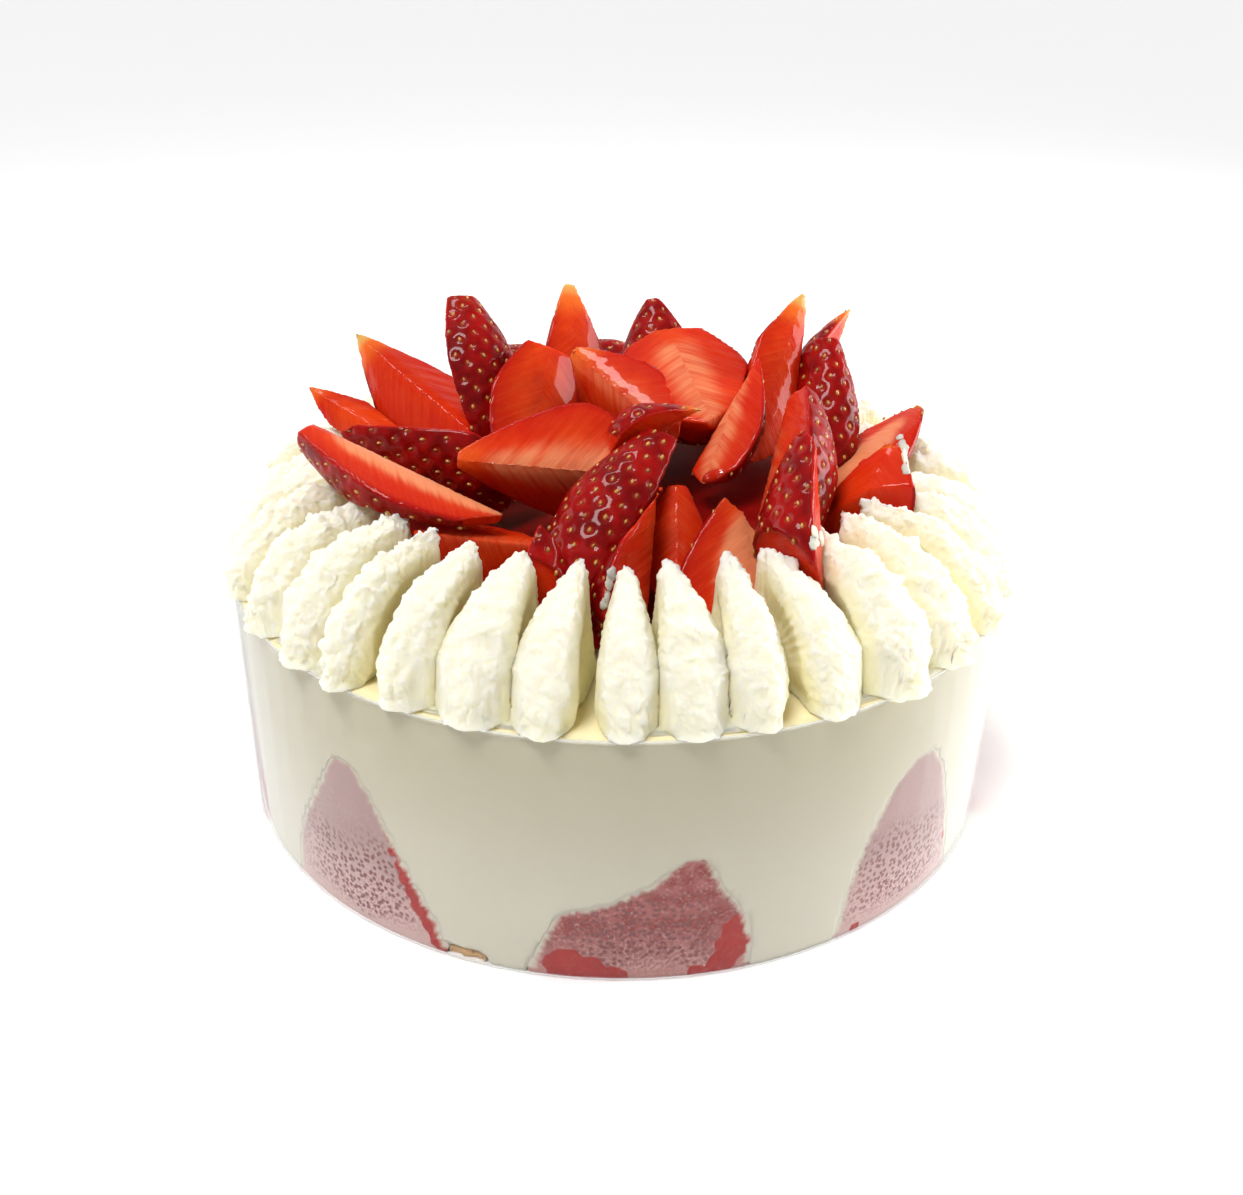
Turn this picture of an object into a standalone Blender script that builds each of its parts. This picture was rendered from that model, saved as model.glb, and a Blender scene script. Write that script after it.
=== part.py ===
"""A round strawberry cream cake in its clear film collar.

Metres, +Z up. The origin is the middle of the underside and -Y is the front.
An azimuth is an angle round the cake, 0 at the front and growing to the right.
"""
import math
import random
from collections import namedtuple

import bmesh
import bpy
import numpy as np
from mathutils import Matrix, Vector

MM = 0.001
SEED = 11

# The cake: a set cream cylinder in a clear film, with a sponge disc in its underside
FILM_RADIUS = 75.0 * MM
FILM_WALL = 0.4 * MM
CAKE_HEIGHT = 47.2 * MM
TOUCHING_GAP = 0.3 * MM
WALL_SEGMENTS = 72
CAKE_RADIUS = FILM_RADIUS - FILM_WALL - TOUCHING_GAP

SPONGE_RADIUS = 61.0 * MM
SPONGE_HEIGHT = 7.0 * MM
SPONGE_SEGMENTS = 48
TONGUE_AZIMUTHS = (-22.5, -16.5)
TONGUE_HEIGHT = 2.0 * MM
TONGUE_ROOT = 6.0 * MM
TONGUE_OVERRUN = 1.2 * MM
SPONGE_UNEVENNESS = 0.5

# The low mound of cream that the fruit leans on: radius and height of each level
MOUND_LEVELS = ((46.0, 0.0), (43.5, 6.0), (37.0, 11.5), (26.0, 16.0), (13.0, 18.5))
MOUND_SEGMENTS = 20
MOUND_ROOT = 2.0 * MM
SLAB_THICKNESS = 20.0 * MM

# Berry halves standing round the side: azimuth and height of each outline point, from the middle
SIDE_COUNT = 9
SIDE_FIRST_AZIMUTH = 3.5
SIDE_LEVELS = ((-3.0, 1.0), (0.0, 1.0), (4.5, 0.94), (8.5, 0.74), (11.0, 0.48), (12.0, 0.26))
SIDE_OUTLINES = (
    # Low and broad, with a shoulder on the right
    ((-14.6, 0.0), (-12.6, 7.0), (-10.6, 12.6), (-4.0, 15.0), (1.6, 19.0), (5.0, 23.6),
     (8.0, 23.8), (10.2, 17.5), (13.4, 11.8), (14.8, 5.5), (14.0, 0.0)),
    # Tall, leaning right
    ((-12.5, 0.0), (-11.2, 9.0), (-9.0, 17.5), (-4.2, 27.5), (0.0, 30.8), (4.0, 30.4),
     (7.2, 25.4), (10.2, 14.5), (12.0, 6.5), (12.3, 0.0)),
    # Tall, leaning left
    ((-14.6, 0.0), (-13.8, 7.5), (-11.6, 13.8), (-6.4, 24.5), (-3.2, 32.0), (0.4, 32.0),
     (4.0, 25.5), (8.2, 15.5), (12.2, 7.0), (14.2, 0.0)),
)

# Petals of piped cream, standing round the rim in threes whose feet run together
PETAL_COUNT = 36
PETAL_GROUP = 3
PETAL_STEP = 360.0 / PETAL_COUNT
PETAL_PIVOT = 55.0
PETAL_REACH = 21.2
PETAL_MIDDLE = 62.5
PETAL_MIDDLE_HEIGHT = 4.0
PETAL_INNER_FOOT = 52.0
PETAL_HALF_WIDTH = 5.8
PETAL_RIBS = (-26.0, -6.0, 12.0, 30.0, 50.0, 70.0, 91.0, 111.0)
PETAL_INNER_SHARE = 0.3
PETAL_FOOT_TUCK = 0.8
PETAL_TUCK_BELOW = -10.0
PETAL_TIP_SHORTENING = 0.22
PETAL_TIP_THINNING = 0.55
# Share of the outline and share of the half width, from the flank out to the ridge
PETAL_FLANK = ((0.38, 0.84), (0.68, 1.0), (0.9, 0.7), (1.0, 0.16))
PETAL_CRAG = 0.5
PETAL_OVERLAP = 1.0
PETAL_SPACE = 0.45
PETAL_WIDEST_RADIUS = 67.0
PETAL_SHIFT_RANGE = 1.2
PETAL_TURN_RANGE = 3.0
PETAL_SIZE_RANGE = (0.97, 1.07)
# Hand-placed petals at the front: number, shift and turn in degrees, size
FRONT_PETALS = {
    -7: (1.5, 6.0, 1.05), -6: (2.5, 7.0, 1.06), -5: (4.0, 8.0, 1.09), -4: (2.5, 5.0, 1.08),
    -3: (1.3, 4.0, 1.05), -2: (2.0, 1.0, 1.05), -1: (2.0, -3.0, 1.05), 0: (1.0, -1.0, 1.02),
    1: (-0.6, 0.0, 1.02), 2: (-0.5, -7.0, 1.04), 3: (-2.7, -4.0, 1.06), 4: (-0.8, -4.0, 1.12),
    5: (0.8, -6.0, 1.1), 6: (0.5, -4.0, 1.07), 7: (0.0, -2.0, 1.05),
}

# Cut fruit on the top. Free and buried ends are in millimetres from the middle of the cake's
# top; skin points from the core to the middle of the skin; wedge is the angle between the cuts;
# peak is where along the piece it is widest, and blunt is how wide its free end is
Fruit = namedtuple("Fruit", "free buried skin wedge radius peak blunt")
FRUIT = (
    Fruit((-63, 13, 26), (-43, 3, 18), (-0.2, 0.75, -0.6), 100, 8, 0.6, 0.08),
    Fruit((-54, 20, 35), (-28, 2, 20), (-0.32, 0.77, -0.55), 100, 14, 0.6, 0.06),
    Fruit((-34, 24, 40), (-27, 4, 12), (0.6, -0.8, 0.1), 110, 10, 0.4, 0.45),
    Fruit((-11, 30, 43), (-6, 10, 14), (-0.5, 0.85, 0.0), 160, 9, 0.6, 0.15),
    Fruit((-55, -16, 29), (-20, -28, 17), (-0.3, -0.6, -0.75), 95, 12.5, 0.5, 0.48),
    Fruit((-56, 1, 22), (-16, 6, 14), (0.0, -0.9, -0.35), 110, 14, 0.65, 0.1),
    Fruit((-14, 12, 35), (-18, -5, 15), (-0.4, 0.85, -0.2), 160, 10, 0.4, 0.5),
    Fruit((-29, -22, 24), (4, -18, 20), (0.0, 0.95, -0.2), 100, 15, 0.65, 0.15),
    Fruit((-37, -36, 21), (-12, -30, 12), (-0.1, 0.7, -0.7), 100, 12, 0.35, 0.5),
    Fruit((-13, -39, 20), (-17, -47, 0), (0.7, -0.7, 0.0), 130, 8, 0.5, 0.2),
    Fruit((-10, 6, 36), (10, -10, 24), (0.2, 0.9, -0.3), 120, 9, 0.5, 0.2),
    Fruit((9, 27, 35), (17, -7, 27), (0.0, 0.3, -0.95), 165, 13.5, 0.35, 0.55),
    Fruit((6, 37, 38), (9, 24, 15), (0.0, -1.0, 0.1), 130, 9, 0.5, 0.2),
    Fruit((15, -9, 29), (-2, -17, 23), (-0.1, 0.35, 0.93), 100, 7, 0.6, 0.15),
    Fruit((24, 4, 36), (15, -16, 18), (0.6, 0.75, -0.2), 160, 7.5, 0.5, 0.3),
    Fruit((8, -17, 26), (-11, -42, 3), (-0.5, -0.6, 0.6), 120, 10, 0.45, 0.45),
    Fruit((36, 21, 44), (25, 0, 16), (-0.3, 0.9, -0.1), 150, 9, 0.6, 0.08),
    Fruit((47, 27, 39), (38, 12, 18), (-0.8, 0.3, 0.5), 110, 8, 0.5, 0.15),
    Fruit((40, 15, 36), (41, -2, 12), (0.1, -0.95, 0.25), 150, 6, 0.5, 0.45),
    Fruit((30, -6, 31), (21, -34, 8), (0.98, -0.17, 0.2), 95, 13, 0.4, 0.55),
    Fruit((34, -24, 37), (36, -49, 4), (-0.85, -0.45, 0.0), 95, 13, 0.6, 0.08),
    Fruit((58, 9, 29), (33, -13, 14), (0.5, 0.4, -0.75), 160, 10, 0.45, 0.2),
    Fruit((49, -13, 27), (34, -40, 5), (0.6, 0.6, -0.5), 150, 12, 0.5, 0.1),
    Fruit((7, -33, 25), (5, -49, -1), (-0.98, 0.17, 0.0), 100, 11, 0.65, 0.1),
    Fruit((22, -32, 23), (23, -50, -2), (-0.3, 0.9, 0.2), 150, 13, 0.5, 0.3),
    Fruit((10, -26, 22), (10, -40, 5), (0.0, 0.5, -0.3), 130, 7, 0.5, 0.3),
)
# Fruit round the back of the heap, which gives way to every piece above
LOW_FRUIT = (
    Fruit((47, 34, 20), (22, 15, 11), (0.2, -0.4, 0.9), 130, 14, 0.5, 0.3),
    Fruit((24, 53, 15), (12, 22, 13), (-0.2, 0.3, 0.9), 120, 14, 0.5, 0.2),
    Fruit((-6, 56, 17), (-2, 24, 13), (0.3, -0.3, 0.9), 120, 14, 0.5, 0.2),
    Fruit((-33, 46, 18), (-15, 20, 13), (0.2, 0.3, 0.9), 120, 14, 0.5, 0.3),
    Fruit((-52, 26, 14), (-24, 20, 13), (0.0, 0.4, 0.9), 120, 11, 0.5, 0.3),
    Fruit((-2, 22, 26), (2, 4, 12), (0.0, 0.9, 0.3), 150, 10, 0.5, 0.4),
)
FRUIT_STATIONS = 7
FRUIT_SIDE_STEP = 24.0
FRUIT_END = 0.12
FRUIT_YIELD = 0.42
DIRECTION_COUNT = 700
MERGE = 0.08 * MM
FLAT_ANGLE = 0.6


def material(name, colour, roughness, alpha=1.0, transmission=0.0):
    """A Principled material with one colour and finish."""
    made = bpy.data.materials.new(name)
    made.use_nodes = True
    shader = made.node_tree.nodes["Principled BSDF"]
    shader.inputs["Base Color"].default_value = (*colour, 1.0)
    shader.inputs["Roughness"].default_value = roughness
    shader.inputs["Alpha"].default_value = alpha
    shader.inputs["Transmission Weight"].default_value = transmission
    made.diffuse_color = (*colour, alpha)
    return made


def add_object(name, bm, finish, smooth_angle=35.0):
    """Turns a bmesh into an object of the scene, with its faces pointing out."""
    bmesh.ops.recalc_face_normals(bm, faces=bm.faces[:])
    if bm.calc_volume(signed=True) < 0.0:
        bmesh.ops.reverse_faces(bm, faces=bm.faces[:])
    mesh = bpy.data.meshes.new(name)
    bm.to_mesh(mesh)
    bm.free()
    mesh.shade_smooth()
    mesh.set_sharp_from_angle(angle=math.radians(smooth_angle))
    made = bpy.data.objects.new(name, mesh)
    if finish is not None:
        mesh.materials.append(finish)
    bpy.context.scene.collection.objects.link(made)
    return made


def as_cutter(thing):
    """Marks an object as a tool that shapes others and isn't a piece of the cake."""
    thing.hide_render = True
    thing.display_type = "WIRE"
    return thing


def cut(target, tool, operation="DIFFERENCE"):
    """Adds a Boolean that keeps its tool."""
    change = target.modifiers.new(operation.title(), "BOOLEAN")
    change.operation = operation
    change.solver = "EXACT"
    change.object = tool
    return change


def place(azimuth, radius, height):
    """The point at an azimuth in degrees, a radius and a height."""
    turn = math.radians(azimuth)
    return Vector((radius * math.sin(turn), -radius * math.cos(turn), height))


def loft(rings):
    """A closed bmesh through rings of as many points each, with a fan at both ends."""
    bm = bmesh.new()
    loops = [[bm.verts.new(point) for point in ring] for ring in rings]
    for near, far in zip(loops, loops[1:]):
        for i in range(len(near)):
            bm.faces.new((near[i - 1], near[i], far[i], far[i - 1]))
    for loop in (loops[0], loops[-1]):
        end = bm.faces.new(loop)
        bmesh.ops.poke(bm, faces=[end])
    bmesh.ops.triangulate(bm, faces=bm.faces[:])
    return bm


def disc(radius, low, high, segments):
    """A cylinder between two heights, with a corner at the front."""
    bm = bmesh.new()
    centre = Matrix.Translation((0.0, 0.0, (low + high) / 2))
    turned = centre @ Matrix.Rotation(math.radians(-90.0), 4, "Z")
    bmesh.ops.create_cone(bm, cap_ends=True, segments=segments, radius1=radius, radius2=radius,
                          depth=high - low, matrix=turned)
    return bm


def hull(points):
    """The closed bmesh round a cloud of points."""
    bm = bmesh.new()
    for point in points:
        bm.verts.new(point)
    bmesh.ops.remove_doubles(bm, verts=bm.verts[:], dist=MERGE)
    bmesh.ops.convex_hull(bm, input=bm.verts[:])
    loose = [vert for vert in bm.verts if not vert.link_faces]
    bmesh.ops.delete(bm, geom=loose, context="VERTS")
    bmesh.ops.dissolve_limit(bm, angle_limit=math.radians(FLAT_ANGLE), verts=bm.verts[:],
                             edges=bm.edges[:])
    bmesh.ops.triangulate(bm, faces=bm.faces[:])
    return bm


def trim(bm, direction, reach):
    """Cuts a convex bmesh off where it passes a plane, and closes it."""
    bmesh.ops.bisect_plane(bm, geom=bm.verts[:] + bm.edges[:] + bm.faces[:], dist=1e-7,
                           plane_co=Vector(direction) * reach, plane_no=Vector(direction),
                           clear_outer=True)
    trimmed = hull([vert.co.copy() for vert in bm.verts])
    bm.free()
    return trimmed


def spread_directions(count):
    """Directions spread evenly over a sphere, on a golden spiral."""
    steps = np.arange(count) + 0.5
    heights = 1.0 - 2.0 * steps / count
    turns = math.pi * (1.0 + math.sqrt(5.0)) * steps
    level = np.sqrt(1.0 - heights ** 2)
    return np.stack([level * np.cos(turns), level * np.sin(turns), heights], axis=1)


def corners(bm):
    return np.array([vert.co[:] for vert in bm.verts])


def contact(first, second, directions):
    """The direction in which two pieces overlap least, where the first ends and the second starts."""
    ends = (first @ directions.T).max(axis=0)
    starts = (second @ directions.T).min(axis=0)
    best = int((ends - starts).argmin())
    return directions[best], ends[best], starts[best]


def fruit_wedge(row):
    """One cut piece of fruit: a tapered round body between two cuts that meet at its core."""
    free = np.array(row.free, float)
    buried = np.array(row.buried, float)
    length = np.linalg.norm(buried - free)
    core = (buried - free) / length
    outward = np.array(row.skin, float)
    outward -= core * (outward @ core)
    outward /= np.linalg.norm(outward)
    across = np.cross(core, outward)
    half = math.radians(row.wedge / 2)
    side_steps = max(3, round(row.wedge / FRUIT_SIDE_STEP))
    points = [free, buried]
    for station in range(FRUIT_STATIONS + 1):
        along = station / FRUIT_STATIONS
        if along < row.peak:
            climb = along / row.peak
            rise = (climb + math.sin(math.pi / 2 * climb)) / 2
            least = row.blunt
        else:
            rise = math.sqrt(max(0.0, 1.0 - ((along - row.peak) / (1.0 - row.peak)) ** 2))
            least = FRUIT_END
        radius = row.radius * (least + (1.0 - least) * rise)
        for side in range(side_steps + 1):
            turn = half * (2.0 * side / side_steps - 1.0)
            arm = outward * math.cos(turn) + across * math.sin(turn)
            points.append(free + core * length * along + arm * radius)
    lift = np.array((0.0, 0.0, CAKE_HEIGHT))
    return hull([Vector(point * MM + lift) for point in points])


def wrap(number):
    """A petal's number counted from the back on the left, round to the back on the right."""
    return (number + PETAL_COUNT // 2) % PETAL_COUNT - PETAL_COUNT // 2


def petal_settings(number):
    """Azimuth, turn and size of a petal; those round the back vary at random."""
    if number in FRONT_PETALS:
        shift, turn, size = FRONT_PETALS[number]
    else:
        chance = random.Random(SEED + number)
        shift = chance.uniform(-PETAL_SHIFT_RANGE, PETAL_SHIFT_RANGE)
        turn = chance.uniform(-PETAL_TURN_RANGE, PETAL_TURN_RANGE)
        size = chance.uniform(*PETAL_SIZE_RANGE)
    return number * PETAL_STEP + shift, turn, size


def petal(number, left_width, right_width):
    """One piped petal: a fan of ribs from its inner foot, thick at the foot and thin at the tip."""
    azimuth, turn, size = petal_settings(number)
    chance = random.Random(SEED * 100 + number)
    outline = [(PETAL_INNER_FOOT, -PETAL_MIDDLE_HEIGHT, PETAL_INNER_SHARE)]
    for rib in PETAL_RIBS:
        share = max(rib, 0.0) / PETAL_RIBS[-1]
        reach = PETAL_REACH * size * (1.0 - PETAL_TIP_SHORTENING * share)
        if rib < PETAL_TUCK_BELOW:
            reach *= PETAL_FOOT_TUCK
        reach += chance.uniform(-PETAL_CRAG, PETAL_CRAG)
        swing = math.radians(rib)
        outline.append((PETAL_PIVOT + reach * math.cos(swing), reach * math.sin(swing), share))
    sides = [(-left_width, level) for level in PETAL_FLANK]
    sides += [(right_width, level) for level in reversed(PETAL_FLANK)]
    middle = place(azimuth, PETAL_MIDDLE, 0.0)
    spin = Matrix.Rotation(math.radians(azimuth + turn), 4, "Z")
    rings = []
    for width, (scale, thickness) in sides:
        ring = []
        for radius, height, share in outline:
            away = width * thickness * (1.0 - PETAL_TIP_THINNING * share)
            up = PETAL_MIDDLE_HEIGHT + (height - PETAL_MIDDLE_HEIGHT) * scale
            local = Vector((away, -(radius - PETAL_MIDDLE) * scale, up))
            point = (middle + spin @ local) * MM
            point.z += CAKE_HEIGHT + TOUCHING_GAP
            ring.append(point)
        rings.append(ring)
    return loft(rings)


def petal_widths(number):
    """Half widths of a petal to its left and right: it meets its partner and clears the other."""
    here = petal_settings(number)[0]
    widths = []
    for neighbour in (number - 1, number + 1):
        between = abs(petal_settings(wrap(neighbour))[0] - here)
        between = min(between, 360.0 - between)
        room = PETAL_WIDEST_RADIUS * math.sin(math.radians(between / 2))
        partner = number // PETAL_GROUP == neighbour // PETAL_GROUP
        widths.append(room + PETAL_OVERLAP if partner else min(PETAL_HALF_WIDTH, room - PETAL_SPACE))
    return widths


def swollen(outline, margin):
    """An outline that runs clockwise, moved outwards by a margin."""
    moved = []
    for index, here in enumerate(outline):
        arriving = (here - outline[index - 1]).normalized()
        leaving = (outline[(index + 1) % len(outline)] - here).normalized()
        along = (arriving + leaving).normalized()
        stretch = max(0.5, along.dot(leaving))
        moved.append(here + Vector((-along.y, along.x)) * margin / stretch)
    return moved


def side_berry(name, index, margin, finish):
    """A berry half whose flat face lies on the wall; margin makes it into its own pocket."""
    azimuth = SIDE_FIRST_AZIMUTH + 360.0 / SIDE_COUNT * index
    shape = {0: 0, 1: 1, SIDE_COUNT - 1: 2}.get(index, index % 3)
    turned = Matrix.Rotation(math.radians(azimuth), 4, "Z")
    per_degree = math.radians(1.0) * CAKE_RADIUS
    rings = []
    for depth, scale in SIDE_LEVELS:
        outline = [Vector((angle * per_degree * scale, height * MM * scale ** 0.5))
                   for angle, height in SIDE_OUTLINES[shape]]
        inward = depth * MM + (margin if depth > 0.0 else 0.0)
        rings.append([turned @ Vector((point.x, inward - CAKE_RADIUS, point.y))
                      for point in swollen(outline, margin)])
    return add_object(name, loft(rings), finish)


def sponge_outline(margin):
    """The sponge's rim: a hand-cut, slightly uneven circle."""
    chance = random.Random(SEED)
    points = []
    for step in range(SPONGE_SEGMENTS):
        azimuth = 360.0 / SPONGE_SEGMENTS * step - 180.0
        uneven = chance.uniform(-SPONGE_UNEVENNESS, SPONGE_UNEVENNESS) * MM
        points.append(place(azimuth, SPONGE_RADIUS + uneven + margin, 0.0))
    return points


def sponge_solid(name, margin, finish):
    """The sponge disc with a thin tongue that reaches the wall; margin makes it into its recess."""
    start, end = TONGUE_AZIMUTHS
    edge = math.degrees(margin / CAKE_RADIUS)
    reach = CAKE_RADIUS + margin + (TONGUE_OVERRUN if margin > 0.0 else 0.0)
    root = SPONGE_RADIUS - TONGUE_ROOT
    strip = [place(start - edge, root, 0.0), place(start - edge, reach, 0.0),
             place((start + end) / 2, reach, 0.0),
             place(end + edge, reach, 0.0), place(end + edge, root, 0.0)]
    solids = []
    for outline, height in ((sponge_outline(margin), SPONGE_HEIGHT), (strip, TONGUE_HEIGHT)):
        rings = [[point + Vector((0.0, 0.0, level)) for point in outline]
                 for level in (-margin, height + margin)]
        solids.append(loft(rings))
    made = add_object(name, solids[0], finish)
    tongue = as_cutter(add_object(name + "_tongue", solids[1], finish))
    cut(made, tongue, "UNION")
    return made


def film_ring(finish):
    """The clear film: a thin wall clear of the floor and of the cream."""
    inner = FILM_RADIUS - FILM_WALL
    low = TOUCHING_GAP
    bm = bmesh.new()
    section = [place(0.0, inner, low), place(0.0, FILM_RADIUS, low),
               place(0.0, FILM_RADIUS, CAKE_HEIGHT), place(0.0, inner, CAKE_HEIGHT)]
    verts = [bm.verts.new(point) for point in section]
    edges = [bm.edges.new((verts[i - 1], verts[i])) for i in range(len(verts))]
    bmesh.ops.spin(bm, geom=verts + edges, cent=(0.0, 0.0, 0.0), axis=(0.0, 0.0, 1.0),
                   angle=math.tau, steps=WALL_SEGMENTS, use_merge=True)
    return add_object("film_collar", bm, finish)


def build():
    for old in list(bpy.data.objects):
        bpy.data.objects.remove(old, do_unlink=True)

    cream = material("set cream", (0.90, 0.87, 0.76), 0.5)
    piped = material("piped cream", (0.94, 0.92, 0.80), 0.6)
    fruit = material("cut fruit", (0.62, 0.03, 0.02), 0.25)
    frosted = material("fruit behind film", (0.62, 0.28, 0.30), 0.5)
    crumb = material("sponge", (0.62, 0.38, 0.17), 0.9)
    clear = material("clear film", (0.95, 0.96, 0.96), 0.1, alpha=0.3, transmission=1.0)

    directions = spread_directions(DIRECTION_COUNT)

    # Petals, fused where their feet run together, and cut flat where they stand
    floor = CAKE_HEIGHT + TOUCHING_GAP
    under = disc(2.0 * FILM_RADIUS, floor - SLAB_THICKNESS, floor, WALL_SEGMENTS)
    slab = as_cutter(add_object("under_the_petals", under, None))
    petal_points = []
    for group in range(PETAL_COUNT // PETAL_GROUP):
        name = f"petals_{group + 1:02d}"
        joined = None
        for number in range(PETAL_GROUP * group, PETAL_GROUP * (group + 1)):
            body = petal(wrap(number), *petal_widths(wrap(number)))
            petal_points.append(corners(body))
            if joined is None:
                joined = add_object(name, body, piped)
            else:
                partner = as_cutter(add_object(f"{name}_partner_{number}", body, piped))
                cut(joined, partner, "UNION")
        cut(joined, slab)

    # Fruit, each piece trimmed flat where it presses on a neighbour, on a petal or on the cake
    pieces = [trim(fruit_wedge(row), (0.0, 0.0, -1.0), -floor) for row in FRUIT + LOW_FRUIT]
    for second in range(len(pieces)):
        for first in range(second):
            a, b = corners(pieces[first]), corners(pieces[second])
            direction, end, start = contact(a, b, directions)
            if end - start > -TOUCHING_GAP:
                # Of two shown pieces, the one in front gives way, at its hidden back
                share = 1.0 if second >= len(FRUIT) else 0.5 - FRUIT_YIELD * direction[1]
                plane = start + (end - start) * share
                pieces[first] = trim(pieces[first], direction, plane - TOUCHING_GAP / 2)
                pieces[second] = trim(pieces[second], -direction, -(plane + TOUCHING_GAP / 2))
    for index in range(len(pieces)):
        for points in petal_points:
            direction, end, start = contact(corners(pieces[index]), points, directions)
            if end - start > -TOUCHING_GAP:
                pieces[index] = trim(pieces[index], direction, start - TOUCHING_GAP)

    rings = []
    for radius, height in MOUND_LEVELS:
        rings += [place(360.0 / MOUND_SEGMENTS * step, radius * MM, CAKE_HEIGHT + height * MM)
                  for step in range(MOUND_SEGMENTS)]
    rings += [point - Vector((0.0, 0.0, MOUND_ROOT)) for point in rings[:MOUND_SEGMENTS]]
    mound = hull(rings)
    for index in range(len(pieces)):
        direction, end, start = contact(corners(mound), corners(pieces[index]), directions)
        if end - start > -TOUCHING_GAP:
            mound = trim(mound, direction, start - TOUCHING_GAP)
    for index, piece in enumerate(pieces):
        add_object(f"top_fruit_{index + 1:02d}", piece, fruit)

    # Body of set cream with its mound, side pockets and sponge recess
    body = add_object("cream_body", disc(CAKE_RADIUS, 0.0, CAKE_HEIGHT, WALL_SEGMENTS), cream)
    form = as_cutter(add_object("cake_form", disc(CAKE_RADIUS, 0.0, CAKE_HEIGHT, WALL_SEGMENTS), None))
    mound_tool = as_cutter(add_object("mound", mound, cream))
    cut(body, mound_tool, "UNION")
    for index in range(SIDE_COUNT):
        berry = side_berry(f"side_fruit_{index + 1:02d}", index, 0.0, frosted)
        cut(berry, form, "INTERSECT")
        pocket = as_cutter(side_berry(f"side_pocket_{index + 1:02d}", index, TOUCHING_GAP, None))
        cut(body, pocket)
    sponge = sponge_solid("sponge_base", 0.0, crumb)
    cut(sponge, form, "INTERSECT")
    recess = as_cutter(sponge_solid("sponge_recess", TOUCHING_GAP, None))
    cut(body, recess)
    film_ring(clear)


build()
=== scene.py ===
# %% [markdown]
# # A round strawberry cream cake in its film collar
#
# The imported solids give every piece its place. This lesson gives each of them the surface of the
# real food: wet cut berries with their seeds, petals of whipped cream, a wall of set cream behind
# clear film, and berry halves that the film has misted over.

# %% Load the frame
import math
import random

import bmesh
import bpy
import numpy as np
from mathutils import Matrix, Vector, noise
from mathutils.bvhtree import BVHTree
from mathutils.kdtree import KDTree


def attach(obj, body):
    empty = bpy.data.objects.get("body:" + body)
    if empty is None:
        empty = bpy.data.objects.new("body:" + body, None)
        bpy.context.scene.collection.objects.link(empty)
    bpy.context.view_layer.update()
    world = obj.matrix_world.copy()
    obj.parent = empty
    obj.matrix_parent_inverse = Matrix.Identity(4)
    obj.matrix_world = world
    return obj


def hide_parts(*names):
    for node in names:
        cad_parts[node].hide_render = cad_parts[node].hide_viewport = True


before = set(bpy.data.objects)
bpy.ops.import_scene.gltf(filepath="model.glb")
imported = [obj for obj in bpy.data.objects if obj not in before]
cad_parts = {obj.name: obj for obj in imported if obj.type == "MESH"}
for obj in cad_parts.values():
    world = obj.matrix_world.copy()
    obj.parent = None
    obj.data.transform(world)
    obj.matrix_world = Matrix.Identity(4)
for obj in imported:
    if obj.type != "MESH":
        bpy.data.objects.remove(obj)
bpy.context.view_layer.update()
scene = bpy.context.scene
scene.view_settings.view_transform = "Standard"
print(len(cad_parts), "solids loaded")

# %% [markdown]
# The same few sizes place everything. They are those of the solids. The scene is in metres, but
# shapes are worked out in millimetres from the middle of the cake's top, because the numbers stay
# readable.

# %% Sizes of the cake
MM = 0.001
CAKE_TOP = 47.2
WALL_RADIUS = 74.3
FILM_RADIUS = 75.0

# %% [markdown]
# Each soft piece starts as a copy of its solid. The copy is merged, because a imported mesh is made
# of loose triangles, and then voxel remeshed. A voxel mesh has even faces all over, which is what
# carved detail needs, and it rounds every edge a little, as food is. Subdividing would do the
# same for a clean mesh, but these solids have long thin triangles that it would keep.


def add_object(name, shape):
    """Turns a bmesh into an object of the scene."""
    mesh = bpy.data.meshes.new(name)
    shape.to_mesh(mesh)
    shape.free()
    made = bpy.data.objects.new(name, mesh)
    scene.collection.objects.link(made)
    return made


def even_copy(node, name, voxel, smoothing):
    """A copy of a solid with even faces of about voxel millimetres, which replaces it."""
    shape = bmesh.new()
    shape.from_mesh(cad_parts[node].data)
    bmesh.ops.remove_doubles(shape, verts=shape.verts[:], dist=0.00001)
    piece = add_object(name, shape)
    remesh = piece.modifiers.new("Even faces", "REMESH")
    remesh.mode = "VOXEL"
    remesh.voxel_size = voxel * 1.0 * MM
    soften = piece.modifiers.new("Soften", "SMOOTH")
    soften.factor = 0.5
    soften.iterations = smoothing
    settle(piece)
    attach(piece, "root")
    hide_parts(node)
    return piece


def settle(piece):
    """Applies a piece's modifiers to its mesh."""
    bpy.context.view_layer.update()
    evaluated = piece.evaluated_get(bpy.context.evaluated_depsgraph_get())
    finished = bpy.data.meshes.new_from_object(evaluated)
    piece.modifiers.clear()
    piece.data = finished
    finished.shade_smooth()


# %% [markdown]
# Carving moves the vertices of such a mesh. These helpers read and write them as arrays of
# millimetres, give smooth noise at any point, and store a number on each vertex for the
# materials.

# %% Read, move and mark vertices
def points_of(piece):
    flat = np.empty(len(piece.data.vertices) * 3)
    piece.data.vertices.foreach_get("co", flat)
    return flat.reshape(-1, 3) / MM - (0.0, 0.0, CAKE_TOP)


def normals_of(piece):
    flat = np.empty(len(piece.data.vertices) * 3)
    piece.data.vertices.foreach_get("normal", flat)
    return flat.reshape(-1, 3)


def move_to(piece, points):
    piece.data.vertices.foreach_set("co", ((points + (0.0, 0.0, CAKE_TOP)) * MM).ravel())
    piece.data.update()


def mark(piece, name, values):
    attribute = piece.data.attributes.new(name, "FLOAT", "POINT")
    attribute.data.foreach_set("value", np.asarray(values, float).ravel())


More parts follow.
